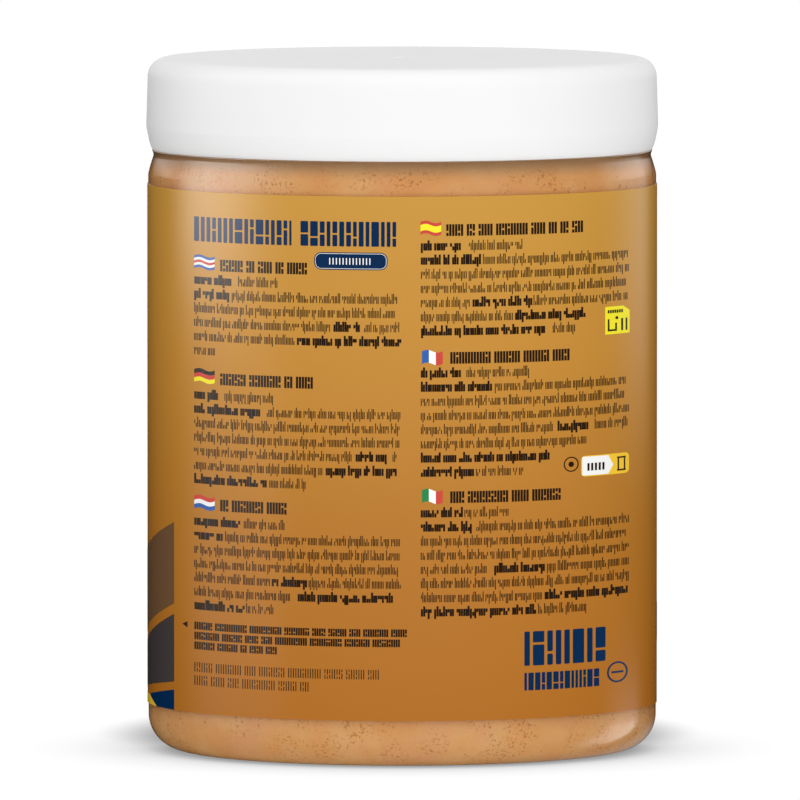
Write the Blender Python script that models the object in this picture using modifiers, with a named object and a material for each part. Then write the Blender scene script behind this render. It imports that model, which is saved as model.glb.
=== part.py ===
"""A one-kilogram peanut butter tub: a clear plastic tub, what fills it, its wrap label and its lid.

Metres, +Z up. The origin is the middle of the foot, on the surface that the tub stands on.
Every piece is turned about Z from a profile of (radius, height) points.
"""

import math

import bmesh
import bpy

MM = 0.001
GAP = 0.3 * MM
SHARP_ANGLE = math.radians(25)

# Steps round the axis, and along the arcs of the profiles
SEGMENTS = 64
LARGE_ARC = 8
MEDIUM_ARC = 6
SMALL_ARC = 3

# Tub, outside
BODY_R = 50.8 * MM
FOOT_CORNER_R = 7.1 * MM
FOOT_WIDTH = 2.0 * MM
PUSH_UP_RISE = 1.2 * MM
PUSH_UP_RUN = 2.4 * MM
RECESS_DEPTH = 0.35 * MM
SHOULDER_Z = 115.2 * MM
GROOVE_R = 49.64 * MM
GROOVE_Z = 119.1 * MM
LEDGE_R = 50.0 * MM
LEDGE_Z = 120.1 * MM
NECK_R = 48.2 * MM
RIM_Z = 136.2 * MM
RIM_ROUND_R = 0.5 * MM

# Tub, inside
BODY_INNER_R = 49.5 * MM
NECK_INNER_R = 46.7 * MM
FLOOR_THICKNESS = 1.3 * MM
NECK_START_Z = 117.5 * MM
NECK_END_Z = 122.0 * MM

# Contents
FILL_Z = 128.5 * MM

# Label
LABEL_R = 51.0 * MM
LABEL_THICKNESS = 0.25 * MM
LABEL_BOTTOM_Z = 9.4 * MM
LABEL_TOP_Z = 113.3 * MM

# Lid
LID_TOP_Z = 138.4 * MM
LID_LIP_Z = 120.5 * MM
LID_LIP_R = 50.03 * MM
LID_R = 51.18 * MM
LID_LIP_HEIGHT = 3.7 * MM
LID_TOP_R = 50.9 * MM
LID_CORNER_R = 3.7 * MM
LID_INNER_R = 49.2 * MM
LID_TOP_THICKNESS = 1.8 * MM
LID_INNER_CORNER_R = 1.5 * MM
LID_LIP_ROUND_R = 0.4 * MM

# Colours are linear RGB
CLEAR_PLASTIC = (0.86, 0.87, 0.84)
PEANUT_BUTTER = (0.60, 0.30, 0.11)
LABEL_OCHRE = (0.58, 0.31, 0.06)
LID_WHITE = (0.86, 0.86, 0.85)


def arc(centre_r, centre_z, size_r, size_z, start_deg, end_deg, steps):
    """Points of an elliptical arc. Zero degrees points outwards and 90 degrees points up."""
    points = []
    for step in range(steps + 1):
        angle = math.radians(start_deg + (end_deg - start_deg) * step / steps)
        r = centre_r + size_r * math.cos(angle)
        z = centre_z + size_z * math.sin(angle)
        points.append((r, z))
    return points


def shoulder():
    """The flare from the groove under the ledge down to the straight wall."""
    points = []
    for step in range(MEDIUM_ARC + 1):
        rise = 1 - step / MEDIUM_ARC
        inward = (BODY_R - GROOVE_R) * (0.75 * rise + 0.25 * rise * rise)
        points.append((BODY_R - inward, SHOULDER_Z + (GROOVE_Z - SHOULDER_Z) * rise))
    return points


def tub_inside(shrink):
    """The inner wall from the middle of the floor up into the neck, moved inwards by shrink."""
    floor_z = PUSH_UP_RISE + FLOOR_THICKNESS + shrink
    wall_r = BODY_INNER_R - shrink
    corner = FOOT_CORNER_R - (BODY_R - BODY_INNER_R) - shrink
    points = [(0, floor_z)]
    points += arc(wall_r - corner, floor_z + corner, corner, corner, -90, 0, MEDIUM_ARC)
    points.append((wall_r, NECK_START_Z - shrink))
    points.append((NECK_INNER_R - shrink, NECK_END_Z - shrink))
    return points


def rim():
    """The rounded mouth, from the inside over to the outside."""
    round_z = RIM_Z - RIM_ROUND_R
    inner = arc(NECK_INNER_R + RIM_ROUND_R, round_z, RIM_ROUND_R, RIM_ROUND_R, 180, 90, SMALL_ARC)
    outer = arc(NECK_R - RIM_ROUND_R, round_z, RIM_ROUND_R, RIM_ROUND_R, 90, 0, SMALL_ARC)
    return inner + outer


def label_recess():
    """The shallow step in the wall that the label sits in, from its top edge down."""
    recess_r = BODY_R - RECESS_DEPTH
    top_z = LABEL_TOP_Z + GAP
    bottom_z = LABEL_BOTTOM_Z - GAP
    return [(BODY_R, top_z), (recess_r, top_z), (recess_r, bottom_z), (BODY_R, bottom_z)]


def underside():
    """The rounded lower corner, the foot ring and the pushed-up middle."""
    foot_r = BODY_R - FOOT_CORNER_R
    ring_inner_r = foot_r - FOOT_WIDTH
    points = arc(foot_r, FOOT_CORNER_R, FOOT_CORNER_R, FOOT_CORNER_R, 0, -90, LARGE_ARC)
    points += arc(ring_inner_r - PUSH_UP_RUN, 0, PUSH_UP_RUN, PUSH_UP_RISE, 0, 90, SMALL_ARC)
    points.append((0, PUSH_UP_RISE))
    return points


def tub_profile():
    """From the inner floor, up the inside, over the rim and down the outside to the foot."""
    points = tub_inside(0)
    points += rim()
    points += [(NECK_R, LEDGE_Z), (LEDGE_R, LEDGE_Z)]
    points += shoulder()
    points += label_recess()
    points += underside()
    return points


def contents_profile():
    """What fills the tub, from its level top down to the floor."""
    top = [(0, FILL_Z), (NECK_INNER_R - GAP, FILL_Z)]
    return top + tub_inside(GAP)[::-1]


def label_profile():
    """A thin sleeve round the recess in the wall."""
    inner_r = LABEL_R - LABEL_THICKNESS
    return [
        (inner_r, LABEL_TOP_Z),
        (LABEL_R, LABEL_TOP_Z),
        (LABEL_R, LABEL_BOTTOM_Z),
        (inner_r, LABEL_BOTTOM_Z),
    ]


def lid_profile():
    """From the middle of the top, down the outside, round the lip and up the inside."""
    plate_z = LID_TOP_Z - LID_TOP_THICKNESS
    corner_z = LID_TOP_Z - LID_CORNER_R
    lip_top_z = LID_LIP_Z + LID_LIP_HEIGHT
    inner_corner = LID_INNER_CORNER_R
    lip_inner = LID_LIP_ROUND_R
    points = [(0, LID_TOP_Z)]
    points += arc(LID_TOP_R - LID_CORNER_R, corner_z, LID_CORNER_R, LID_CORNER_R, 90, 0, LARGE_ARC)
    points += arc(LID_LIP_R, lip_top_z, LID_R - LID_LIP_R, LID_LIP_HEIGHT, 0, -90, MEDIUM_ARC)
    points += arc(
        LID_INNER_R + lip_inner, LID_LIP_Z + lip_inner, lip_inner, lip_inner, -90, -180, SMALL_ARC
    )
    points += arc(
        LID_INNER_R - inner_corner, plate_z - inner_corner, inner_corner, inner_corner, 0, 90, SMALL_ARC
    )
    points.append((0, plate_z))
    return points


def plain_material(name, colour, roughness, transmission=0.0):
    material = bpy.data.materials.new(name)
    material.use_nodes = True
    shader = material.node_tree.nodes["Principled BSDF"]
    shader.inputs["Base Color"].default_value = (*colour, 1)
    shader.inputs["Roughness"].default_value = roughness
    shader.inputs["Metallic"].default_value = 0.0
    shader.inputs["Transmission Weight"].default_value = transmission
    material.diffuse_color = (*colour, 1)
    return material


def profile_mesh(name, profile, closed):
    """The profile as a chain of edges in the XZ plane, closed into a loop for a sleeve."""
    mesh = bpy.data.meshes.new(name)
    chain = bmesh.new()
    verts = [chain.verts.new((r, 0, z)) for r, z in profile]
    for first, second in zip(verts, verts[1:]):
        chain.edges.new((first, second))
    if closed:
        chain.edges.new((verts[-1], verts[0]))
    chain.to_mesh(mesh)
    chain.free()
    return mesh


def apply_modifiers(piece):
    """Keeps the evaluated shape, so that its edges can be shaded by their angle."""
    evaluated = piece.evaluated_get(bpy.context.evaluated_depsgraph_get())
    mesh = bpy.data.meshes.new_from_object(evaluated)
    mesh.name = piece.name
    piece.modifiers.clear()
    piece.data = mesh
    mesh.shade_smooth()
    mesh.set_sharp_from_angle(angle=SHARP_ANGLE)


def turned(name, profile, material, collection, parent, closed=False):
    """One solid of revolution about Z."""
    piece = bpy.data.objects.new(name, profile_mesh(name, profile, closed))
    collection.objects.link(piece)
    piece.parent = parent
    screw = piece.modifiers.new("Turn", "SCREW")
    screw.axis = "Z"
    screw.steps = SEGMENTS
    screw.render_steps = SEGMENTS
    screw.use_merge_vertices = True
    screw.merge_threshold = 0.00001
    apply_modifiers(piece)
    piece.data.materials.append(material)
    return piece


def clear_scene():
    for item in list(bpy.context.scene.objects):
        bpy.data.objects.remove(item, do_unlink=True)


def build_jar():
    collection = bpy.data.collections.new("peanut_butter_jar")
    bpy.context.scene.collection.children.link(collection)
    foot = bpy.data.objects.new("jar_foot_centre", None)
    collection.objects.link(foot)

    clear = plain_material("clear_plastic", CLEAR_PLASTIC, 0.12, transmission=1.0)
    spread = plain_material("peanut_butter", PEANUT_BUTTER, 0.45)
    paper = plain_material("printed_label", LABEL_OCHRE, 0.35)
    white = plain_material("white_plastic", LID_WHITE, 0.35)

    turned("tub", tub_profile(), clear, collection, foot)
    turned("peanut_butter", contents_profile(), spread, collection, foot)
    turned("label", label_profile(), paper, collection, foot, closed=True)
    turned("lid", lid_profile(), white, collection, foot)


clear_scene()
build_jar()
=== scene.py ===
"""The looks of a one-kilogram tub of crunchy peanut butter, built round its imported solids.

The tub, its contents, its lid and its wrap label are turned again with fine rounding, and the
label gets its print as thin plates bent round it. Metres, +Z up; the camera looks along +Y.
"""

import math
import random

import bmesh
import bpy
import numpy as np
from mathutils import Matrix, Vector


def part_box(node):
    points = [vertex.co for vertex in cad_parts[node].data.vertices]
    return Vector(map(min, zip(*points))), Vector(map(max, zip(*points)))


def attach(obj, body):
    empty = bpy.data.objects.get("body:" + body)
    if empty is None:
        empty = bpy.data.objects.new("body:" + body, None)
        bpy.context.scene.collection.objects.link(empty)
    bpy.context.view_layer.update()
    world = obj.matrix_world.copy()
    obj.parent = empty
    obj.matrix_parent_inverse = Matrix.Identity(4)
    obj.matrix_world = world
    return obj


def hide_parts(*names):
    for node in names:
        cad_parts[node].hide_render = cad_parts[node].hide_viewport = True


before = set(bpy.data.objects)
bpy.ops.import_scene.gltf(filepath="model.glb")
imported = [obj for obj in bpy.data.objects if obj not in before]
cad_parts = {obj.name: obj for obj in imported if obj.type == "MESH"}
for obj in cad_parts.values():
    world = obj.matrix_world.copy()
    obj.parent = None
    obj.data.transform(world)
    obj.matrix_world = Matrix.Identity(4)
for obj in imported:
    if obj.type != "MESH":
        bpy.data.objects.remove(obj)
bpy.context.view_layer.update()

MM = 0.001
BODY = "root"
TURN_STEPS = 288
SHARP_ANGLE = math.radians(32)

# Read from the frame
TUB_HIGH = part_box("tub")[1]
LABEL_LOW, LABEL_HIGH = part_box("label")
LID_LOW, LID_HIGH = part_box("lid")
BODY_R = TUB_HIGH.x
RIM_Z = TUB_HIGH.z
FILL_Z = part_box("peanut_butter")[1].z
LABEL_R = LABEL_HIGH.x
LID_R = LID_HIGH.x
LID_TOP_Z = LID_HIGH.z

# Tub
FOOT_CORNER_R = 7.1 * MM
FOOT_WIDTH = 2.0 * MM
PUSH_UP_RISE = 1.2 * MM
PUSH_UP_RUN = 2.4 * MM
RECESS_DEPTH = 0.35 * MM
LABEL_BITE = 0.05 * MM
SHOULDER_Z = 115.2 * MM
SHOULDER_BOW = 0.25
GROOVE_R = 49.64 * MM
GROOVE_Z = 119.1 * MM
GROOVE_SOFT = 0.5 * MM
LEDGE_R = 50.0 * MM
LEDGE_Z = 120.1 * MM
LEDGE_ROUND_R = 0.2 * MM
NECK_R = 48.2 * MM
RIM_ROUND_R = 0.5 * MM
WALL = 1.3 * MM
NECK_INNER_R = 46.7 * MM
NECK_START_Z = 117.5 * MM
NECK_END_Z = 122.0 * MM
FILL_BITE = 0.4 * MM

# Lid
LIP_DROP = 0.34 * MM
LID_LIP_Z = LID_LOW.z - LIP_DROP
LIP_R = 49.9 * MM
LIP_HEIGHT = 4.7 * MM
LIP_BEND = 0.6
LID_TOP_R = 50.9 * MM
LID_CORNER_R = 3.7 * MM
LID_INNER_R = 49.2 * MM
LID_TOP_THICKNESS = 1.8 * MM
LID_INNER_CORNER_R = 1.5 * MM
LIP_ROUND_R = 0.4 * MM
GATE_R = 1.4 * MM
GATE_DEPTH = 0.12 * MM

# Steps along the curves of the profiles
CORNER_STEPS = 20
WALL_STEPS = 16
LIP_STEPS = 16
SHOULDER_STEPS = 12
PUSH_UP_STEPS = 10
GROOVE_STEPS = 8
ROUND_STEPS = 6
LEDGE_STEPS = 4

# Print: how deep it is sunk, how high its layers stand, and the longest flat part of a bent plate
PRINT_SINK = 0.05 * MM
FIELD_LIFT = 0.03 * MM
MARK_LIFT = 0.06 * MM
DETAIL_LIFT = 0.09 * MM
TOP_LIFT = 0.12 * MM
BEND_STEP = 1.6 * MM

# Camera
CAMERA_DISTANCE = 4000 * MM
CAMERA_PITCH = math.radians(3.7)
FOCAL_LENGTH = 899.3
SENSOR = 36.0
FAR_CLIP = 50.0
AIM_LEFT = 0.44 * MM
AIM_UP = 0.58 * MM


def arc(centre_r, centre_z, size_r, size_z, start_deg, end_deg, steps):
    """Points of an elliptical arc. Zero degrees points outwards and 90 degrees points up."""
    points = []
    for step in range(steps + 1):
        angle = math.radians(start_deg + (end_deg - start_deg) * step / steps)
        points.append((centre_r + size_r * math.cos(angle), centre_z + size_z * math.sin(angle)))
    return points


def object_from(name, verts, faces, material):
    mesh = bpy.data.meshes.new(name)
    mesh.from_pydata(verts, [], faces)
    mesh.validate()
    mesh.shade_smooth()
    mesh.set_sharp_from_angle(angle=SHARP_ANGLE)
    mesh.materials.append(material)
    piece = bpy.data.objects.new(name, mesh)
    bpy.context.scene.collection.objects.link(piece)
    return piece


def turned(name, profile, material, closed=False):
    """A solid of revolution from (radius, height) points that run down its outer side."""
    angles = [2 * math.pi * step / TURN_STEPS for step in range(TURN_STEPS)]
    verts = []
    rings = []
    for r, z in profile:
        start = len(verts)
        if r == 0:
            verts.append((0, 0, z))
            rings.append([start] * TURN_STEPS)
        else:
            verts += [(r * math.cos(angle), r * math.sin(angle), z) for angle in angles]
            rings.append(list(range(start, start + TURN_STEPS)))
    pairs = list(zip(rings, rings[1:]))
    if closed:
        pairs.append((rings[-1], rings[0]))
    faces = []
    for upper, lower in pairs:
        for step in range(TURN_STEPS):
            after = (step + 1) % TURN_STEPS
            corners = [upper[step], lower[step], lower[after], upper[after]]
            faces.append(tuple(dict.fromkeys(corners)))
    return object_from(name, verts, faces, material)


class Link:
    """An output of a node. Arithmetic on it adds Math nodes."""

    def __init__(self, nodes, socket):
        self.nodes = nodes
        self.socket = socket

    def __add__(self, other):
        return self.nodes.math("ADD", self, other)

    __radd__ = __add__

    def __sub__(self, other):
        return self.nodes.math("SUBTRACT", self, other)

    def __rsub__(self, other):
        return self.nodes.math("SUBTRACT", other, self)

    def __mul__(self, other):
        return self.nodes.math("MULTIPLY", self, other)

    __rmul__ = __mul__


class Nodes:
    """The node tree of a material or of the world."""

    def __init__(self, owner):
        owner.use_nodes = True
        self.tree = owner.node_tree
        self.tree.nodes.clear()

    def add(self, kind, settings=None, sockets=None, output=0):
        """A node of that type. Its settings are set first, then its sockets get values or links."""
        node = self.tree.nodes.new(kind)
        for key, value in (settings or {}).items():
            if key == "stops":
                self.set_stops(node.color_ramp, value)
            else:
                setattr(node, key, value)
        for key, value in (sockets or {}).items():
            if isinstance(value, Link):
                self.tree.links.new(value.socket, node.inputs[key])
            elif value is not None:
                node.inputs[key].default_value = value
        return Link(self, node.outputs[output]) if node.outputs else None

    def set_stops(self, ramp, stops):
        while len(ramp.elements) < len(stops):
            ramp.elements.new(0.5)
        for element, (position, colour) in zip(ramp.elements, stops):
            element.position = position
            element.color = (*colour, 1)

    def math(self, operation, first, second=None):
        return self.add("ShaderNodeMath", {"operation": operation}, {0: first, 1: second})

    def smooth(self, value, low, high, start=0.0, end=1.0):
        """Goes smoothly from start to end as value goes from low to high."""
        return self.add(
            "ShaderNodeMapRange",
            {"interpolation_type": "SMOOTHSTEP"},
            {"Value": value, "From Min": low, "From Max": high, "To Min": start, "To Max": end},
        )

    def mix(self, factor, first, second, blend="MIX"):
        """Mixes two colours."""
        settings = {"data_type": "RGBA", "blend_type": blend}
        sockets = {"Factor": factor, 6: colour_value(first), 7: colour_value(second)}
        return self.add("ShaderNodeMix", settings, sockets, output=2)

    def scaled(self, vector, factors):
        sockets = {0: vector, 1: factors}
        return self.add("ShaderNodeVectorMath", {"operation": "MULTIPLY"}, sockets)

    def place(self):
        """The point on the piece, in metres."""
        return self.add("ShaderNodeTexCoord", output="Object")

    def axis(self, vector, name):
        """The X, Y or Z part of a vector."""
        return self.add("ShaderNodeSeparateXYZ", {}, {"Vector": vector}, output=name)

    def noise(self, vector, size, detail=2.0, rough=0.5, distortion=0.0):
        """Soft noise from 0 to 1, with features of that size in metres."""
        sockets = {
            "Vector": vector, "Scale": 1 / size, "Detail": detail,
            "Roughness": rough, "Distortion": distortion,
        }
        return self.add("ShaderNodeTexNoise", {}, sockets)

    def bump(self, height, depth):
        """A bump that is depth metres deep where height goes from 0 to 1."""
        sockets = {"Strength": 1.0, "Distance": depth, "Height": height}
        return self.add("ShaderNodeBump", {}, sockets)

    def surface(self, shader):
        self.add("ShaderNodeOutputMaterial", {}, {"Surface": shader})


def colour_value(value):
    return value if isinstance(value, Link) else (*value, 1)


def material_nodes(name):
    material = bpy.data.materials.new(name)
    return material, Nodes(material)


def principled(nodes, colour, roughness, normal=None, **constants):
    """The one surface shader. The constants are socket names with _ for a space."""
    sockets = {"Base Color": colour_value(colour), "Roughness": roughness, "Normal": normal}
    for key, value in constants.items():
        sockets[key.replace("_", " ")] = value
    shader = nodes.add("ShaderNodeBsdfPrincipled", {}, sockets)
    nodes.surface(shader)


LID_WHITE = (0.81, 0.81, 0.81)
LID_CLOUDED = [0.985 * part for part in LID_WHITE]
LID_ROUGHNESS = 0.42


def lid_plastic():
    """White polypropylene: a faint cloudiness and a very fine moulded grain."""
    material, nodes = material_nodes("lid_plastic")
    place = nodes.place()
    cloud = nodes.noise(place, 18 * MM, detail=3)
    grain = nodes.noise(place, 0.35 * MM, detail=2)
    colour = nodes.mix(cloud, LID_WHITE, LID_CLOUDED)
    roughness = LID_ROUGHNESS + 0.06 * grain
    normal = nodes.bump(grain, 0.006 * MM)
    principled(
        nodes, colour, roughness, normal,
        Specular_IOR_Level=0.12, Subsurface_Weight=0.25, Subsurface_Scale=3 * MM,
        Subsurface_Radius=(1.0, 1.0, 1.0),
    )
    return material


CLEAR_TINT = (0.985, 0.985, 0.975)
CLEAR_ROUGHNESS = 0.05


def tub_plastic():
    """Clear polypropylene with the slight waves that moulding leaves."""
    material, nodes = material_nodes("tub_plastic")
    place = nodes.place()
    flow = nodes.noise(nodes.scaled(place, (1, 1, 0.4)), 9 * MM, detail=2)
    haze = nodes.noise(place, 2.5 * MM, detail=3)
    normal = nodes.bump(flow, 0.03 * MM)
    roughness = CLEAR_ROUGHNESS + 0.05 * haze
    principled(nodes, CLEAR_TINT, roughness, normal, Transmission_Weight=1.0, IOR=1.49)
    return material


BUTTER_PALE = (0.985, 0.595, 0.265)
BUTTER_BROWN = (0.94, 0.475, 0.17)
BUTTER_ROSE = (0.94, 0.47, 0.235)
BUTTER_SPECK = (0.62, 0.235, 0.065)
BUTTER_SHADE = (0.50, 0.305, 0.165)

# The shade under the lid, as heights above the groove
BUTTER_SHADE_START = -3.1 * MM
BUTTER_SHADE_END = 0.2 * MM
BUTTER_SHADE_DEPTH = 0.75

# Ranges of soft noise over which each feature of the paste sets in
MOTTLE_RANGE = (0.3, 0.7)
ROSE_RANGE = (0.5, 0.7)
CLUSTER_RANGE = (0.46, 0.63)
SPECK_RANGE = (0.53, 0.66)
FLECK_RANGE = (0.67, 0.74)

# How far each feature changes the colour, and the share of the specks that lie outside clusters
ROSE_DEPTH = 0.6
FINE_DEPTH = 0.35
SPECK_DEPTH = 0.85
FLECK_DEPTH = 0.7
STRAY_SHARE = 0.04


def butter_paste():
    """Ground peanut: soft mottling, and fine brown skins that lie in clusters."""
    material, nodes = material_nodes("butter_paste")
    place = nodes.place()
    mottle = nodes.noise(place, 9 * MM, detail=5, rough=0.6)
    rose = nodes.noise(nodes.scaled(place, (1, 1, 1.3)), 13 * MM, detail=3)
    fine = nodes.noise(place, 0.8 * MM, detail=3, rough=0.6)
    cluster = nodes.smooth(nodes.noise(place, 7 * MM, detail=3, distortion=0.4), *CLUSTER_RANGE)
    specks = nodes.smooth(nodes.noise(place, 0.55 * MM, detail=2, rough=0.6), *SPECK_RANGE)
    flecks = nodes.smooth(nodes.noise(place, 1.4 * MM, detail=2, rough=0.6), *FLECK_RANGE)
    dotted = specks * (STRAY_SHARE + (1 - STRAY_SHARE) * cluster)
    colour = nodes.mix(nodes.smooth(mottle, *MOTTLE_RANGE), BUTTER_BROWN, BUTTER_PALE)
    colour = nodes.mix(nodes.smooth(rose, *ROSE_RANGE, 0.0, ROSE_DEPTH), colour, BUTTER_ROSE)
    colour = nodes.mix(FINE_DEPTH * fine, colour, BUTTER_BROWN)
    colour = nodes.mix(SPECK_DEPTH * dotted, colour, BUTTER_SPECK)
    colour = nodes.mix(FLECK_DEPTH * flecks, colour, BUTTER_SPECK)
    height = nodes.axis(place, "Z")
    under_lid = nodes.smooth(height, GROOVE_Z + BUTTER_SHADE_START, GROOVE_Z + BUTTER_SHADE_END)
    colour = nodes.mix(BUTTER_SHADE_DEPTH * under_lid, colour, BUTTER_SHADE)
    normal = nodes.bump(fine, 0.12 * MM)
    principled(nodes, colour, 0.5, normal, Specular_IOR_Level=0.15)
    return material


FILM_STOPS = [
    (0.0, (0.407, 0.140, 0.012)),
    (0.35, (0.445, 0.176, 0.021)),
    (0.70, (0.525, 0.242, 0.034)),
    (1.0, (0.556, 0.286, 0.045)),
]
FILM_ROUGHNESS = 0.2
FILM_GLOSS = 0.5


def film_waves(nodes, place):
    """The faint waves of a film that is stretched round a tub."""
    wave = nodes.noise(nodes.scaled(place, (1, 1, 0.25)), 14 * MM, detail=2)
    return nodes.bump(wave, 0.02 * MM)


def label_film():
    """Satin film, printed in an ochre that deepens towards the foot."""
    material, nodes = material_nodes("label_film")
    place = nodes.place()
    height = nodes.axis(place, "Z")
    share = (height - LABEL_LOW.z) * (1 / (LABEL_HIGH.z - LABEL_LOW.z))
    ramp = nodes.add("ShaderNodeValToRGB", {"stops": FILM_STOPS}, {"Fac": share})
    grain = nodes.noise(place, 0.25 * MM, detail=2)
    colour = nodes.mix(0.04 * grain, ramp, FILM_STOPS[0][1])
    roughness = FILM_ROUGHNESS + 0.04 * grain
    principled(nodes, colour, roughness, film_waves(nodes, place), Specular_IOR_Level=FILM_GLOSS)
    return material


INKS = {
    "ink_black": (0.022, 0.010, 0.004),
    "ink_navy": (0.0, 0.023, 0.085),
    "ink_white": (0.93, 0.93, 0.91),
    "ink_yellow": (0.93, 0.82, 0.018),
    "ink_gold": (0.93, 0.58, 0.035),
    "ink_red": (0.62, 0.06, 0.04),
    "ink_blue": (0.03, 0.12, 0.42),
    "ink_green": (0.02, 0.25, 0.07),
    "ink_umber": (0.16, 0.082, 0.036),
    "ink_charcoal": (0.056, 0.046, 0.044),
    "ink_nut": (0.62, 0.33, 0.13),
}


def ink(name):
    """Solid ink under the film's gloss, a little uneven as print is."""
    material, nodes = material_nodes(name)
    place = nodes.place()
    grain = nodes.noise(place, 0.3 * MM, detail=2)
    tone = INKS[name]
    colour = nodes.mix(grain, tone, [0.9 * part for part in tone])
    roughness = FILM_ROUGHNESS + 0.05 * grain
    principled(nodes, colour, roughness, film_waves(nodes, place), Specular_IOR_Level=FILM_GLOSS)
    return material


def wear(piece, slot, *nodes):
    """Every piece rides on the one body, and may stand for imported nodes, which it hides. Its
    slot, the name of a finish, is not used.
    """
    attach(piece, BODY)
    if nodes:
        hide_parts(*nodes)
    return piece


def tub_inside(grow):
    """The inner wall from the middle of the floor up into the neck, moved outwards by grow."""
    floor_z = PUSH_UP_RISE + WALL - grow
    wall_r = BODY_R - WALL + grow
    corner = FOOT_CORNER_R - WALL + grow
    points = [(0, floor_z)]
    points += arc(wall_r - corner, floor_z + corner, corner, corner, -90, 0, WALL_STEPS)
    points += [(wall_r, NECK_START_Z + grow), (NECK_INNER_R + grow, NECK_END_Z + grow)]
    return points


def shoulder():
    """The flare from the groove under the ledge down to the straight wall."""
    points = []
    for step in range(SHOULDER_STEPS + 1):
        rise = 1 - step / SHOULDER_STEPS
        bowed = (1 - SHOULDER_BOW) * rise + SHOULDER_BOW * rise * rise
        inward = (BODY_R - GROOVE_R) * bowed
        points.append((BODY_R - inward, SHOULDER_Z + (GROOVE_Z - SHOULDER_Z) * rise))
    return points


def soft_groove():
    """The rounded bottom of the groove, from just above it to just below it."""
    ledge_slope = (LEDGE_R - GROOVE_R) / (LEDGE_Z - LEDGE_ROUND_R - GROOVE_Z)
    shoulder_slope = (1 + SHOULDER_BOW) * (BODY_R - GROOVE_R) / (GROOVE_Z - SHOULDER_Z)
    upper = Vector((GROOVE_R + ledge_slope * GROOVE_SOFT, GROOVE_Z + GROOVE_SOFT))
    middle = Vector((GROOVE_R, GROOVE_Z))
    lower = Vector((GROOVE_R + shoulder_slope * GROOVE_SOFT, GROOVE_Z - GROOVE_SOFT))
    points = []
    for step in range(GROOVE_STEPS + 1):
        share = step / GROOVE_STEPS
        points.append(tuple(upper.lerp(middle, share).lerp(middle.lerp(lower, share), share)))
    return points


def make_tub():
    round_z = RIM_Z - RIM_ROUND_R
    recess_r = BODY_R - RECESS_DEPTH
    top_z = LABEL_HIGH.z - LABEL_BITE
    bottom_z = LABEL_LOW.z + LABEL_BITE
    foot_r = BODY_R - FOOT_CORNER_R
    push_up_r = foot_r - FOOT_WIDTH - PUSH_UP_RUN
    ledge = LEDGE_ROUND_R
    mouth = RIM_ROUND_R
    points = tub_inside(0)
    points += arc(NECK_INNER_R + mouth, round_z, mouth, mouth, 180, 90, ROUND_STEPS)
    points += arc(NECK_R - mouth, round_z, mouth, mouth, 90, 0, ROUND_STEPS)
    points.append((NECK_R, LEDGE_Z))
    points += arc(LEDGE_R - ledge, LEDGE_Z - ledge, ledge, ledge, 90, 0, LEDGE_STEPS)
    points += soft_groove()
    points += [(r, z) for r, z in shoulder() if z < GROOVE_Z - GROOVE_SOFT]
    points += [(BODY_R, top_z), (recess_r, top_z), (recess_r, bottom_z), (BODY_R, bottom_z)]
    points += arc(foot_r, FOOT_CORNER_R, FOOT_CORNER_R, FOOT_CORNER_R, 0, -90, CORNER_STEPS)
    points += arc(push_up_r, 0, PUSH_UP_RUN, PUSH_UP_RISE, 0, 90, PUSH_UP_STEPS)
    points.append((0, PUSH_UP_RISE))
    tub = turned("clear_tub", points, tub_plastic())
    return wear(tub, "clear_plastic", "tub")


def make_contents():
    """The contents reach just into the clear wall, so that no air shows between them."""
    top = [(0, FILL_Z), (NECK_INNER_R + FILL_BITE, FILL_Z)]
    points = top + tub_inside(FILL_BITE)[::-1]
    contents = turned("butter_fill", points, butter_paste())
    return wear(contents, "peanut_butter", "peanut_butter")


def make_label():
    inner_r = BODY_R - RECESS_DEPTH - LABEL_BITE
    top_z = LABEL_HIGH.z
    bottom_z = LABEL_LOW.z
    points = [(inner_r, top_z), (LABEL_R, top_z), (LABEL_R, bottom_z), (inner_r, bottom_z)]
    label = turned("label_sleeve", points, label_film(), closed=True)
    return wear(label, "printed_label", "label")


def lid_lip():
    """The lower end of the lid's side, which bends in more and more towards the lip."""
    points = []
    for step in range(LIP_STEPS + 1):
        rise = 1 - step / LIP_STEPS
        r = LIP_R + (LID_R - LIP_R) * rise ** LIP_BEND
        points.append((r, LID_LIP_Z + LIP_HEIGHT * rise))
    return points


def make_lid():
    plate_z = LID_TOP_Z - LID_TOP_THICKNESS
    corner_z = LID_TOP_Z - LID_CORNER_R
    gate_z = LID_TOP_Z - GATE_DEPTH
    corner = LID_CORNER_R
    inner = LID_INNER_CORNER_R
    lip = LIP_ROUND_R
    points = [(0, gate_z), (GATE_R, gate_z), (GATE_R + GATE_DEPTH, LID_TOP_Z)]
    points += arc(LID_TOP_R - corner, corner_z, corner, corner, 90, 0, CORNER_STEPS)
    points += lid_lip()
    points += arc(LID_INNER_R + lip, LID_LIP_Z + lip, lip, lip, -90, -180, ROUND_STEPS)
    points += arc(LID_INNER_R - inner, plate_z - inner, inner, inner, 0, 90, ROUND_STEPS)
    points.append((0, plate_z))
    lid = turned("screw_lid", points, lid_plastic())
    return wear(lid, "white_plastic", "lid")


def seen(across):
    """Where a point that lies that far from the axis in the front view is along the label."""
    return LABEL_R * math.asin(max(-1, min(1, across / LABEL_R)))


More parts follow.
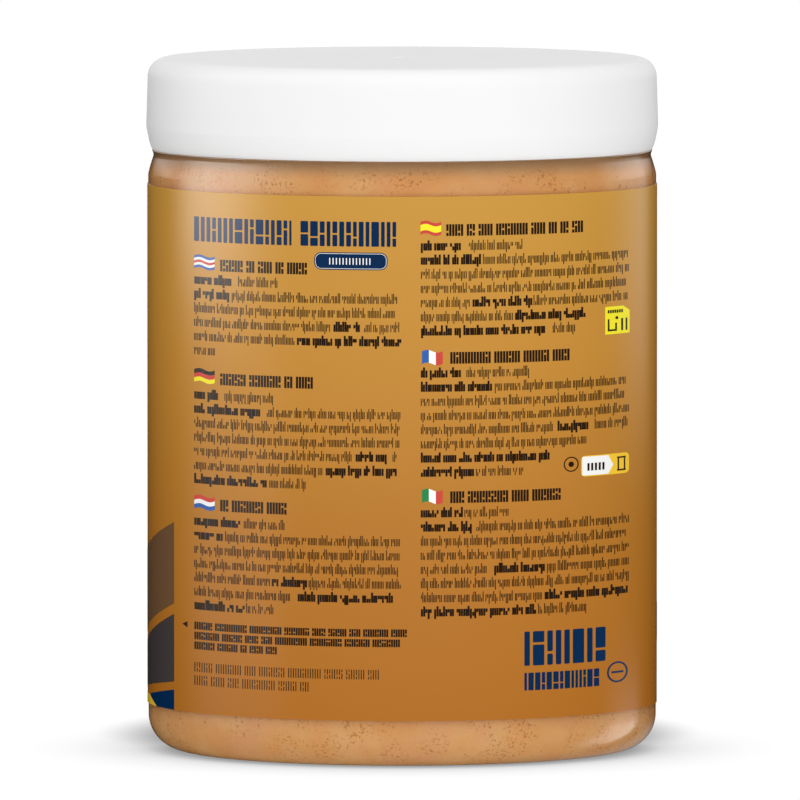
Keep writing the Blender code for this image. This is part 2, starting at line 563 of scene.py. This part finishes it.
def printed(name, outlines, lift, material, facing=0.0, bend=True):
    """Thin closed plates bent round the label.

    An outline is a list of (along, up) points. Along runs to the right, seen from outside, and
    starts at the side that faces the camera, or at that side turned by facing.
    """
    flat = bmesh.new()
    for outline in outlines:
        flat.faces.new([flat.verts.new((along, up, 0)) for along, up in outline])
    if bend:
        low = min(vert.co.x for vert in flat.verts)
        high = max(vert.co.x for vert in flat.verts)
        for cut in np.arange(low + BEND_STEP, high, BEND_STEP):
            everything = flat.verts[:] + flat.edges[:] + flat.faces[:]
            bmesh.ops.bisect_plane(flat, geom=everything, plane_co=(cut, 0, 0), plane_no=(1, 0, 0))
    raised = bmesh.ops.extrude_face_region(flat, geom=flat.faces[:], use_keep_orig=True)
    top = {item for item in raised["geom"] if isinstance(item, bmesh.types.BMVert)}
    for vert in flat.verts:
        radius = LABEL_R + lift if vert in top else LABEL_R - PRINT_SINK
        angle = facing + vert.co.x / LABEL_R
        vert.co = (radius * math.sin(angle), -radius * math.cos(angle), vert.co.y)
    bmesh.ops.recalc_face_normals(flat, faces=flat.faces[:])
    mesh = bpy.data.meshes.new(name)
    flat.to_mesh(mesh)
    flat.free()
    mesh.materials.append(material)
    piece = bpy.data.objects.new(name, mesh)
    bpy.context.scene.collection.objects.link(piece)
    return wear(piece, "printed_label")


def rectangle(left, bottom, right, top):
    return [(left, bottom), (right, bottom), (right, top), (left, top)]


def rounded(left, bottom, right, top, radius, steps=5):
    """A rectangle with round corners."""
    points = []
    corners = [
        (right - radius, top - radius, 0), (left + radius, top - radius, 90),
        (left + radius, bottom + radius, 180), (right - radius, bottom + radius, 270),
    ]
    for x, z, start in corners:
        points += arc(x, z, radius, radius, start, start + 90, steps)
    return points


def front_view(outline):
    """Moves an outline drawn in the front view onto the label."""
    return [(seen(across), up) for across, up in outline]


# The fine print, in millimetres of the front view. It is greeked: upright strokes, no letters.
LINE_PITCH = 2.805
BODY_X_HEIGHT = 1.42
BODY_CAP_HEIGHT = 2.0
BODY_TAIL = 0.5
STROKE_JITTER = 0.03
LEFT_EDGE = -41.3
RIGHT_EDGE = 3.7

# Width and pitch of the strokes, and how many strokes a word has
HEAVY_STROKE = (0.39, 0.44)
LIGHT_STROKE = (0.16, 0.305)
WORD_LENGTHS = (3, 5, 6, 8, 9, 11, 14)

# Kinds of stroke: the share of all strokes up to and with this kind, then its bottom and its top
# above the baseline
STROKE_KINDS = [
    (0.17, 0, BODY_CAP_HEIGHT),
    (0.25, -BODY_TAIL, BODY_X_HEIGHT),
    (0.35, 0, 0.55 * BODY_X_HEIGHT),
    (0.45, 0.5 * BODY_X_HEIGHT, BODY_X_HEIGHT),
    (1.0, 0, BODY_X_HEIGHT),
]

# Each block: left edge, baseline of its first line, and its lines as runs of (start, end, heavy)
BLOCKS = [
    (LEFT_EDGE, 94.9, [
        [(0, 8.2, True), (8.8, 17.5, False)],
        [(0, 7.0, True), (7.5, 40.8, False)],
        [(0, 40.8, False)],
        [(0, 27.0, False), (27.7, 33.2, True), (33.8, 40.8, False)],
        [(0, 20.0, False), (20.5, 40.8, True)],
        [(0, 4.0, False)],
    ]),
    (LEFT_EDGE, 72.05, [
        [(0, 5.5, True), (6.1, 15.6, False)],
        [(0, 14.0, True), (14.5, 40.8, False)],
        [(0, 40.8, False)],
        [(0, 40.8, False)],
        [(0, 31.4, False), (32.1, 38.9, True), (39.4, 40.8, False)],
        [(0, 25.6, False), (26.2, 40.8, True)],
        [(0, 14.4, True), (15.0, 22.5, False)],
    ]),
    (LEFT_EDGE, 46.9, [
        [(0, 9.2, True), (9.9, 18.0, False)],
        [(0, 5.7, True), (6.2, 40.8, False)],
        [(0, 40.8, False)],
        [(0, 40.8, False)],
        [(0, 15.0, False), (15.5, 22.2, True), (22.8, 40.8, False)],
        [(0, 20.0, False), (20.6, 40.8, True)],
        [(0, 9.8, True), (10.4, 16.3, False)],
    ]),
    (RIGHT_EDGE, 102.65, [
        [(0, 8.8, True), (9.5, 20.0, False)],
        [(0, 11.7, True), (12.3, 41.2, False)],
        [(0, 41.2, False)],
        [(0, 41.2, False)],
        [(0, 9.6, False), (10.2, 21.8, True), (22.3, 41.2, False)],
        [(0, 18.0, False), (18.6, 32.4, True)],
        [(0, 25.6, True), (26.1, 30.8, False)],
    ]),
    (RIGHT_EDGE, 77.5, [
        [(0, 8.4, True), (9.0, 21.4, False)],
        [(0, 14.0, True), (14.6, 41.2, False)],
        [(0, 41.2, False)],
        [(0, 41.2, False)],
        [(0, 26.6, False), (27.1, 33.9, True), (34.5, 41.2, False)],
        [(0, 32.8, False)],
        [(0, 25.1, True)],
        [(0, 10.3, True), (10.9, 20.2, False)],
    ]),
    (RIGHT_EDGE, 49.8, [
        [(0, 8.0, True), (8.6, 17.2, False)],
        [(0, 10.4, True), (11.0, 41.2, False)],
        [(0, 41.2, False)],
        [(0, 41.2, False)],
        [(0, 14.0, False), (14.5, 24.5, True), (25.0, 41.2, False)],
        [(0, 41.2, False)],
        [(0, 24.0, False), (24.5, 41.2, True)],
        [(0, 22.6, True), (23.2, 33.0, False)],
    ]),
]

# Sub-headings and small notes: start, end, baseline, height, stroke, stroke pitch
NOTES = [
    (-36.1, -18.9, 97.7, 2.3, 0.44, 0.58),
    (-36.1, -18.1, 75.1, 2.3, 0.44, 0.58),
    (-36.1, -23.3, 50.0, 2.3, 0.44, 0.58),
    (8.7, 35.6, 105.5, 2.3, 0.44, 0.58),
    (9.5, 33.2, 80.2, 2.3, 0.44, 0.58),
    (9.5, 31.0, 52.6, 2.3, 0.44, 0.58),
    (LEFT_EDGE, 0.8, 26.1, 1.5, 0.35, 0.46),
    (LEFT_EDGE, -0.4, 24.1, 1.5, 0.35, 0.46),
    (LEFT_EDGE, -24.8, 22.15, 1.5, 0.35, 0.46),
    (LEFT_EDGE, -4.2, 17.65, 1.9, 0.17, 0.48),
    (LEFT_EDGE, -18.4, 15.0, 1.9, 0.17, 0.48),
]

# The share of these strokes that are parted, where, and their gap, as parts of their height
CAP_PARTED = 0.3
CAP_MIDDLES = (0.35, 0.5, 0.65)
CAP_GAP = 0.16


def words(draw, start, end, pitch):
    """Splits a run into words of a few strokes, and gives each word's stroke places."""
    place = start
    while place < end - 2 * pitch:
        strokes = min(draw.choice(WORD_LENGTHS), int((end - place) / pitch) + 1)
        yield [place + step * pitch for step in range(strokes) if place + step * pitch < end]
        place += (strokes + 1) * pitch


def body_strokes(draw, start, end, baseline, heavy):
    """Upright strokes of a line of small print, with a few long ones and a few short ones."""
    width, pitch = HEAVY_STROKE if heavy else LIGHT_STROKE
    outlines = []
    for word in words(draw, start, end, pitch):
        for place in word:
            pick = draw.random()
            low, high = next((low, high) for share, low, high in STROKE_KINDS if pick < share)
            left = place + draw.uniform(-STROKE_JITTER, STROKE_JITTER)
            outlines.append(rectangle(left, baseline + low, left + width, baseline + high))
    return outlines


def parted(left, right, bottom, top, middle, gap):
    """A bar in two pieces, as their (left, bottom, right, top), with a gap round its middle."""
    return [(left, bottom, right, middle - gap / 2), (left, middle + gap / 2, right, top)]


def cap_strokes(draw, start, end, baseline, height, width, pitch):
    """Upright strokes of one height, a few of them broken in the middle."""
    top = baseline + height
    boxes = []
    for word in words(draw, start, end, pitch):
        for place in word:
            if draw.random() < CAP_PARTED:
                middle = baseline + draw.choice(CAP_MIDDLES) * height
                boxes += parted(place, place + width, baseline, top, middle, CAP_GAP * height)
            else:
                boxes.append((place, baseline, place + width, top))
    return [rectangle(*box) for box in boxes]


def in_metres(outlines):
    return [[(across * MM, up * MM) for across, up in outline] for outline in outlines]


def seen_in_metres(outlines):
    return [front_view(outline) for outline in in_metres(outlines)]


def make_small_print(inks):
    draw = random.Random(11)
    strokes = []
    for left, baseline, lines in BLOCKS:
        for number, runs in enumerate(lines):
            for start, end, heavy in runs:
                level = baseline - number * LINE_PITCH
                strokes += body_strokes(draw, left + start, left + end, level, heavy)
    for note in NOTES:
        strokes += cap_strokes(draw, *note)
    printed("small_print", seen_in_metres(strokes), FIELD_LIFT, inks["ink_black"], bend=False)


# The heading is two words of plain heavy bars: left edge and width of each
HEADING_BOTTOM = 103.4
HEADING_TOP = 108.3
HEADING_WORDS = [(-41.3, 19.4), (-20.1, 19.0)]

# Heavy bars at scale 1, the share that are parted across and where
BAR_WIDTHS = (0.72, 0.72, 0.95, 1.5)
BAR_LEAST = 0.4
BAR_GAP = 0.41
BAR_ROUND = 0.16
BAR_PARTED = 0.35
BAR_PART_GAP = 0.8 * BAR_GAP
BAR_MIDDLES = (0.36, 0.5, 0.64)


def heavy_bars(draw, left, width, bottom, top, scale=1.0):
    """Heavy upright bars of mixed widths, some of them parted across."""
    gap = BAR_GAP * scale
    boxes = []
    place = left
    while place < left + width - BAR_LEAST * scale:
        end = min(place + draw.choice(BAR_WIDTHS) * scale, left + width)
        if draw.random() < BAR_PARTED:
            middle = bottom + draw.choice(BAR_MIDDLES) * (top - bottom)
            boxes += parted(place, end, bottom, top, middle, BAR_PART_GAP * scale)
        else:
            boxes.append((place, bottom, end, top))
        place = end + gap
    return [rounded(*box, BAR_ROUND * scale) for box in boxes]


def make_heading(inks):
    draw = random.Random(5)
    bars = []
    for left, width in HEADING_WORDS:
        bars += heavy_bars(draw, left, width, HEADING_BOTTOM, HEADING_TOP)
    printed("heading_bars", seen_in_metres(bars), FIELD_LIFT, inks["ink_navy"])


PILL = (-17.4, 98.75, -2.9, 102.2)
PILL_ROUND = 1.4
PILL_EDGE = 0.2
PILL_LINE = 0.1
PILL_BAR = 0.2
PILL_BAR_LEVELS = (99.8, 101.1)
PILL_BAR_PLACES = np.arange(-14.4, -6.0, 0.66)


def inset(box, distance):
    left, bottom, right, top = box
    return (left + distance, bottom + distance, right - distance, top - distance)


def make_flavour_pill(inks):
    """A navy pill with a pale line inside its edge and a row of thin pale bars."""
    field = rounded(*PILL, PILL_ROUND)
    line = rounded(*inset(PILL, PILL_EDGE), PILL_ROUND - PILL_EDGE)
    middle = rounded(*inset(PILL, PILL_EDGE + PILL_LINE), PILL_ROUND - PILL_EDGE - PILL_LINE)
    bottom, top = PILL_BAR_LEVELS
    bars = [rectangle(x, bottom, x + PILL_BAR, top) for x in PILL_BAR_PLACES]
    printed("pill_field", seen_in_metres([field]), FIELD_LIFT, inks["ink_navy"])
    printed("pill_line", seen_in_metres([line]), MARK_LIFT, inks["ink_white"])
    printed("pill_middle", seen_in_metres([middle]), DETAIL_LIFT, inks["ink_navy"])
    printed("pill_bars", seen_in_metres(bars), TOP_LIFT, inks["ink_white"], bend=False)


# Language chips: left edge, bottom, and stripes from left to right or from top to bottom
CHIP_WIDTH = 4.1
CHIP_HEIGHT = 2.5
CHIP_WAVE = 0.28
CHIP_STEPS = 8
CHIPS = [
    (LEFT_EDGE, 98.0, "level", ("blue", "white", "red", "white", "blue")),
    (LEFT_EDGE, 75.4, "level", ("black", "red", "yellow")),
    (LEFT_EDGE, 50.2, "level", ("red", "white", "blue")),
    (3.6, 105.8, "level", ("red", "yellow", "yellow", "red")),
    (3.9, 80.2, "upright", ("blue", "white", "red")),
    (3.9, 52.7, "upright", ("green", "white", "red")),
]


def chip_stripe(left, bottom, way, number, count):
    """One stripe of a chip, whose top and bottom edges wave like a small flag."""
    if way == "level":
        x_range = (left, left + CHIP_WIDTH)
        low = bottom + CHIP_HEIGHT * (count - 1 - number) / count
        z_range = (low, low + CHIP_HEIGHT / count)
    else:
        x_range = (left + CHIP_WIDTH * number / count, left + CHIP_WIDTH * (number + 1) / count)
        z_range = (bottom, bottom + CHIP_HEIGHT)

    def wave(across):
        return CHIP_WAVE * math.sin(2 * math.pi * (across - left) / CHIP_WIDTH)

    stride = (x_range[1] - x_range[0]) / CHIP_STEPS
    places = [x_range[0] + stride * step for step in range(CHIP_STEPS + 1)]
    lower = [(x, z_range[0] + wave(x)) for x in places]
    upper = [(x, z_range[1] + wave(x)) for x in reversed(places)]
    return lower + upper


def make_chips(inks):
    stripes = {}
    for left, bottom, way, colours in CHIPS:
        for number, colour in enumerate(colours):
            stripe = chip_stripe(left, bottom, way, number, len(colours))
            stripes.setdefault(colour, []).append(stripe)
    for colour, outlines in stripes.items():
        material = inks["ink_" + colour]
        printed("chips_" + colour, seen_in_metres(outlines), FIELD_LIFT, material, bend=False)


def ring(centre, level, outer, inner, parts=24):
    """A ring as short four-sided pieces."""
    outlines = []
    for part in range(parts):
        a = 2 * math.pi * part / parts
        b = 2 * math.pi * (part + 1) / parts
        outlines.append([
            (centre + inner * math.cos(a), level + inner * math.sin(a)),
            (centre + outer * math.cos(a), level + outer * math.sin(a)),
            (centre + outer * math.cos(b), level + outer * math.sin(b)),
            (centre + inner * math.cos(b), level + inner * math.sin(b)),
        ])
    return outlines


def disc(centre, level, radius, parts=12):
    return arc(centre, level, radius, radius, 0, 360 - 360 / parts, parts - 1)


# The yellow chip and the two-coloured tag, as outlines or boxes (left, bottom, right, top)
CARE_CHIP = [(40.3, 84.8), (45.2, 84.8), (45.2, 89.3), (43.9, 90.3), (40.3, 90.3)]
CARE_TAG = (35.5, 56.9, 45.1, 61.0)
CARE_TAG_ROUND = 0.8
CARE_TAG_WHITE = [(35.7, 57.1), (40.9, 57.1), (41.9, 58.85), (40.9, 60.8), (35.7, 60.8)]

# Rows of short bars on them: places of their left edges, width, bottom and top
CARE_ROWS = [
    (np.arange(40.8, 43.5, 0.45), 0.3, 89.0, 89.6),
    (np.arange(36.7, 40.0, 0.75), 0.42, 58.0, 59.5),
]
CARE_BOXES = [
    (40.8, 85.4, 42.5, 85.75), (40.8, 85.4, 41.1, 87.8), (42.3, 85.4, 42.6, 87.0),
    (43.5, 85.4, 43.85, 87.8), (44.4, 85.4, 44.7, 87.8),
    (42.7, 57.5, 44.4, 57.8), (42.7, 60.0, 44.4, 60.3),
    (42.8, 57.5, 43.05, 60.2), (44.05, 57.5, 44.3, 60.2),
]

# Discs and rings: centre, level, and radius or outer and inner radius
CARE_DOT = (42.6, 88.0, 0.3)
THIN_RING = (33.5, 59.5, 1.5, 1.28)
THIN_DOT = (33.5, 59.5, 0.55)
THIN_ARROW = [(-43.7, 26.9), (-42.7, 26.3), (-42.7, 27.5)]


def make_care_marks(inks):
    """A yellow chip and a two-coloured tag with plain marks, a thin ring and a small arrowhead."""
    tag = rounded(*CARE_TAG, CARE_TAG_ROUND)
    printed("care_chip", seen_in_metres([CARE_CHIP]), FIELD_LIFT, inks["ink_yellow"])
    printed("care_tag", seen_in_metres([tag]), FIELD_LIFT, inks["ink_gold"])
    printed("care_tag_white", seen_in_metres([CARE_TAG_WHITE]), MARK_LIFT, inks["ink_white"])
    marks = [rectangle(*box) for box in CARE_BOXES] + [disc(*CARE_DOT)]
    for places, width, bottom, top in CARE_ROWS:
        marks += [rectangle(x, bottom, x + width, top) for x in places]
    printed("care_marks", seen_in_metres(marks), DETAIL_LIFT, inks["ink_black"], bend=False)
    thin = ring(*THIN_RING) + [disc(*THIN_DOT), THIN_ARROW]
    printed("thin_marks", seen_in_metres(thin), FIELD_LIFT, inks["ink_black"], bend=False)


# Rows of bars low on the right: left edge, width, bottom, top, scale. Then the ring beside them
WEIGHT_ROWS = [(24.2, 16.2, 19.9, 26.7, 1.5), (24.2, 15.3, 15.0, 18.5, 0.7)]
WEIGHT_RING = (42.8, 17.4, 2.1, 1.75)
WEIGHT_DASH = (41.6, 17.2, 44.0, 17.6)


def make_weight_bars(inks):
    """Two rows of heavy navy bars and a thin ring with a dash, low on the right."""
    draw = random.Random(8)
    bars = []
    for row in WEIGHT_ROWS:
        bars += heavy_bars(draw, *row)
    bars += ring(*WEIGHT_RING) + [rectangle(*WEIGHT_DASH)]
    printed("weight_blocks", seen_in_metres(bars), FIELD_LIFT, inks["ink_navy"])


# The hidden front panel, in millimetres along the label from its own middle
FRONT_FACING = math.radians(191)
FRONT_HALF = 94.4
FRONT_LOW = LABEL_LOW.z / MM + 0.05
CORNER_TOP = 11.5
BAND_SLOPE = 0.3
CHARCOAL_LEFT = 64.0
CHARCOAL_TOP = 28.6

# The plate, its line and its corners. Its rows of bars: left edge, width, bottom, top, scale
PLATE = (-46, 50, 46, 98)
PLATE_EDGE = 1.6
PLATE_LINE = 0.5
PLATE_ROUNDS = (5, 4, 3.6)
PLATE_CORNER_STEPS = 8
PLATE_PALE_ROW = (-34, 68, 76, 89, 3.2)
PLATE_GOLD_ROW = (-25, 50, 66, 71.5, 1.6)
PLATE_STRIP = (-25, 58.5, 25, 60.0)

# Peanuts: centre, level, length, tilt. Then the dents along and across each of them
NUTS = [(-9, 33, 27, 0.5), (14, 29, 25, -0.35)]
NUT_STEPS = 40
DENTS_ALONG = (-8.5, -6, -3.5, 3.5, 6, 8.5)
DENTS_ACROSS = (-2.4, 0, 2.4)
DENT_R = 0.45
DENT_STEPS = 10


def slanted(left, right, low, height, slope=BAND_SLOPE):
    """A band that rises to the right, cut upright at its ends."""
    return [
        (left, low + slope * left), (right, low + slope * right),
        (right, low + slope * right + height), (left, low + slope * left + height),
    ]


def peanut(centre, level, length, tilt):
    """The outline of a peanut in its shell: two lobes and a waist."""
    points = []
    for step in range(NUT_STEPS):
        angle = 2 * math.pi * step / NUT_STEPS
        turn = angle + tilt
        reach = 0.5 * length * (0.70 + 0.30 * math.cos(2 * angle))
        points.append((centre + reach * math.cos(turn), level + reach * math.sin(turn)))
    return points


def front_print(name, outlines, lift, material):
    printed(name, in_metres(outlines), lift, material, FRONT_FACING)


def make_front_bands(inks):
    """Slanted bands and a navy and gold corner at the panel's right, and one band at its left."""
    umber = slanted(60.0, FRONT_HALF, 2.4, 16.2)
    charcoal_fall = BAND_SLOPE * (FRONT_HALF - CHARCOAL_LEFT)
    charcoal = [
        (CHARCOAL_LEFT, 11.9), (FRONT_HALF, 15.1),
        (FRONT_HALF, CHARCOAL_TOP), (CHARCOAL_LEFT, CHARCOAL_TOP - charcoal_fall),
    ]
    far_charcoal = slanted(-FRONT_HALF, -62.0, -5.4, 7.4, -BAND_SLOPE)
    navy = [(84.8, FRONT_LOW), (FRONT_HALF, FRONT_LOW), (FRONT_HALF, 13.5), (78.0, CORNER_TOP)]
    gold = [(52.0, FRONT_LOW), (84.8, FRONT_LOW), (78.0, CORNER_TOP), (58.0, CORNER_TOP)]
    front_print("front_umber", [umber], FIELD_LIFT, inks["ink_umber"])
    front_print("front_charcoal", [charcoal, far_charcoal], FIELD_LIFT, inks["ink_charcoal"])
    front_print("front_navy", [navy], FIELD_LIFT, inks["ink_navy"])
    front_print("front_gold", [gold], FIELD_LIFT, inks["ink_gold"])


def make_front_plate(inks):
    """A blank navy plate with a pale line, rows of plain bars, and a gold strip."""
    draw = random.Random(3)
    boxes = (PLATE, inset(PLATE, PLATE_EDGE), inset(PLATE, PLATE_EDGE + PLATE_LINE))
    rounds = zip(boxes, PLATE_ROUNDS)
    field, line, middle = [rounded(*box, radius, PLATE_CORNER_STEPS) for box, radius in rounds]
    pale = heavy_bars(draw, *PLATE_PALE_ROW)
    gold = heavy_bars(draw, *PLATE_GOLD_ROW) + [rectangle(*PLATE_STRIP)]
    front_print("plate_field", [field], FIELD_LIFT, inks["ink_navy"])
    front_print("plate_line", [line], MARK_LIFT, inks["ink_white"])
    front_print("plate_middle", [middle], DETAIL_LIFT, inks["ink_navy"])
    front_print("plate_bars", pale, TOP_LIFT, inks["ink_white"])
    front_print("plate_gold_bars", gold, TOP_LIFT, inks["ink_gold"])


def make_front_nuts(inks):
    """Two peanuts in their shells, with short dents."""
    nuts = [peanut(*nut) for nut in NUTS]
    dents = []
    for centre, level, _, tilt in NUTS:
        for along in DENTS_ALONG:
            for across in DENTS_ACROSS:
                x = centre + along * math.cos(tilt) - across * math.sin(tilt)
                z = level + along * math.sin(tilt) + across * math.cos(tilt)
                dents.append(disc(x, z, DENT_R, DENT_STEPS))
    front_print("nut_shells", nuts, FIELD_LIFT, inks["ink_nut"])
    front_print("nut_dents", dents, MARK_LIFT, inks["ink_umber"])


def make_front(inks):
    make_front_bands(inks)
    make_front_plate(inks)
    make_front_nuts(inks)


def make_print():
    inks = {name: ink(name) for name in INKS}
    make_small_print(inks)
    make_heading(inks)
    make_flavour_pill(inks)
    make_chips(inks)
    make_care_marks(inks)
    make_weight_bars(inks)
    make_front(inks)


def only_seen_by(piece, camera=False, glossy=False):
    """Hides a piece of the studio from all other rays, so that it casts no shadow."""
    piece.visible_camera = camera
    piece.visible_glossy = glossy
    piece.visible_diffuse = False
    piece.visible_transmission = False
    piece.visible_shadow = False


FLOOR_HALF = 9.0
FLOOR_GLOW = 1.01
CONTACT_SAMPLES = 16
CONTACT_REACH = 40 * MM

# The floor's tone for each openness above it, and its oval shade
CONTACT_STOPS = [
    (0.10, (0.33, 0.33, 0.33)),
    (0.50, (0.58, 0.58, 0.58)),
    (0.66, (0.85, 0.85, 0.85)),
    (0.80, (0.955, 0.955, 0.955)),
    (0.92, (1.0, 1.0, 1.0)),
]
SHADE_CENTRE = (-0.8 * MM, 30 * MM)
SHADE_HALF = (68 * MM, 94 * MM)
SHADE_FULL = 0.60
SHADE_END = 0.95
SHADE_DARKEST = 0.22


def make_floor():
    """A plain white floor with a soft oval shade under what stands on it, and a contact shade."""
    material, nodes = material_nodes("floor_white")
    place = nodes.place()
    x = nodes.axis(place, "X")
    y = nodes.axis(place, "Y")
    across = (x - SHADE_CENTRE[0]) * (1 / SHADE_HALF[0])
    along = (y - SHADE_CENTRE[1]) * (1 / SHADE_HALF[1])
    outwards = nodes.math("SQRT", across * across + along * along)
    shade = nodes.smooth(outwards, SHADE_FULL, SHADE_END, SHADE_DARKEST, 1.0)
    settings = {"samples": CONTACT_SAMPLES}
    sockets = {"Color": (1, 1, 1, 1), "Distance": CONTACT_REACH}
    openness = nodes.add("ShaderNodeAmbientOcclusion", settings, sockets, output="AO")
    contact = nodes.add("ShaderNodeValToRGB", {"stops": CONTACT_STOPS}, {"Fac": openness})
    tone = nodes.mix(1.0, contact, shade, "DARKEN")
    nodes.surface(nodes.add("ShaderNodeEmission", {}, {"Color": tone, "Strength": FLOOR_GLOW}))
    corners = [
        (-FLOOR_HALF, -FLOOR_HALF, 0), (FLOOR_HALF, -FLOOR_HALF, 0),
        (FLOOR_HALF, FLOOR_HALF, 0), (-FLOOR_HALF, FLOOR_HALF, 0),
    ]
    floor = object_from("floor", corners, [(0, 1, 2, 3)], material)
    only_seen_by(floor, camera=True)


RING_R = 250 * MM
RING_BOTTOM = -250 * MM
RING_TOP = 400 * MM
RING_STEPS = 144

# Strip lights on the ring: strength, where each starts and is full, where it fades and ends
# (in degrees from the camera's side, to the right), then the same upwards in millimetres
STRIPS = [
    (3.5, (-120, -90, -82, -52), (70, 96, 380, 400)),
    (0.65, (-112, -84, -62, -40), (-30, 0, 380, 400)),
    (0.75, (88, 121, 127, 142), (30, 96, 380, 400)),
    (1.8, (92, 106, 120, 128), (-240, -80, -30, 4)),
    (0.25, (134, 146, 160, 175), (-240, -80, -50, -12)),
]

# The soft light high up at the back of the ring
HOUSE_LIGHT = 0.8
HOUSE_BOTTOM = 120 * MM
HOUSE_FULL = 150 * MM
HOUSE_BACK = 100 * MM


def band(nodes, value, edges, scale=1.0):
    """Rises from 0 to 1 between the first two edges and falls back between the last two."""
    low, full, fade, end = [edge * scale for edge in edges]
    return nodes.smooth(value, low, full) * nodes.smooth(value, fade, end, 1.0, 0.0)


def make_ring():
    """A dark cup round the tub that shows only in reflections, with strip lights in its wall."""
    material, nodes = material_nodes("ring_glow")
    place = nodes.place()
    x = nodes.axis(place, "X")
    y = nodes.axis(place, "Y")
    z = nodes.axis(place, "Z")
    turn = nodes.math("ARCTAN2", x, 0 - y) * (180 / math.pi)
    glow = nodes.smooth(z, HOUSE_BOTTOM, HOUSE_FULL, 0.0, HOUSE_LIGHT)
    glow = glow * nodes.smooth(y, 0.0, HOUSE_BACK)
    for strength, sides, heights in STRIPS:
        glow = glow + strength * (band(nodes, turn, sides) * band(nodes, z, heights, MM))
    nodes.surface(nodes.add("ShaderNodeEmission", {}, {"Color": glow, "Strength": 1.0}))
    verts = []
    for step in range(RING_STEPS):
        angle = 2 * math.pi * step / RING_STEPS
        verts.append((RING_R * math.cos(angle), RING_R * math.sin(angle), RING_BOTTOM))
        verts.append((RING_R * math.cos(angle), RING_R * math.sin(angle), RING_TOP))
    faces = [tuple(range(0, 2 * RING_STEPS, 2))]
    for step in range(RING_STEPS):
        a = 2 * step
        b = 2 * ((step + 1) % RING_STEPS)
        faces.append((a, a + 1, b + 1, b))
    ring_piece = object_from("ring_card", verts, faces, material)
    only_seen_by(ring_piece, glossy=True)


SKY_BACK = 0.15
SKY_SIDE = 0.78
SKY_FRONT = 1.33
SKY_TOP = 0.62
SKY_FLOOR = 0.24
SKY_RIGHT_GAIN = 0.25
SKY_LEFT_LOSS = 0.07

# Where along X, Y or Z each change lies, for a direction of length 1 that light comes from
BACK_TO_SIDE = (-0.4, 0.08)
SIDE_TO_FRONT = (0.44, 0.89)
SIDE_TO_TOP = (0.4, 0.9)
FLOOR_TO_SIDE = (-0.5, -0.1)
FLOOR_FROM_LEFT = (-0.8, 0.1)
TO_RIGHT = (0.69, 1.0)
FROM_LEFT = (-0.9, -0.74)


def make_sky():
    """Soft light all round: strongest from the camera's side, weakest from behind."""
    world = bpy.data.worlds.new("studio")
    bpy.context.scene.world = world
    nodes = Nodes(world)
    way = nodes.add("ShaderNodeTexCoord", output="Generated")
    x = nodes.axis(way, "X")
    y = nodes.axis(way, "Y")
    z = nodes.axis(way, "Z")
    front = 0 - y
    light = nodes.smooth(front, *BACK_TO_SIDE, SKY_BACK, SKY_SIDE)
    light = light + nodes.smooth(front, *SIDE_TO_FRONT, 0.0, SKY_FRONT - SKY_SIDE)
    light = light + nodes.smooth(z, *SIDE_TO_TOP, 0.0, SKY_TOP)
    floor_light = nodes.smooth(z, *FLOOR_TO_SIDE, SKY_FLOOR, 0.0)
    light = light + floor_light * nodes.smooth(x, *FLOOR_FROM_LEFT)
    light = light * nodes.smooth(x, *TO_RIGHT, 1.0, 1 + SKY_RIGHT_GAIN)
    light = light * nodes.smooth(x, *FROM_LEFT, 1 - SKY_LEFT_LOSS, 1.0)
    shader = nodes.add("ShaderNodeBackground", {}, {"Color": light, "Strength": 1.0})
    nodes.add("ShaderNodeOutputWorld", {}, {"Surface": shader})


def make_camera():
    camera = bpy.data.objects.new("camera", bpy.data.cameras.new("camera"))
    bpy.context.scene.collection.objects.link(camera)
    camera.data.sensor_width = SENSOR
    camera.data.lens = FOCAL_LENGTH
    camera.data.clip_end = FAR_CLIP
    middle = Vector((-AIM_LEFT, 0, LID_TOP_Z / 2 + AIM_UP))
    back = Vector((0, -math.cos(CAMERA_PITCH), math.sin(CAMERA_PITCH)))
    camera.location = middle + CAMERA_DISTANCE * back
    camera.rotation_euler = (math.pi / 2 - CAMERA_PITCH, 0, 0)
    bpy.context.scene.camera = camera


make_camera()
make_tub()
make_contents()
make_label()
make_lid()
make_print()
make_floor()
make_sky()
make_ring()
bpy.context.scene.view_settings.view_transform = "Standard"
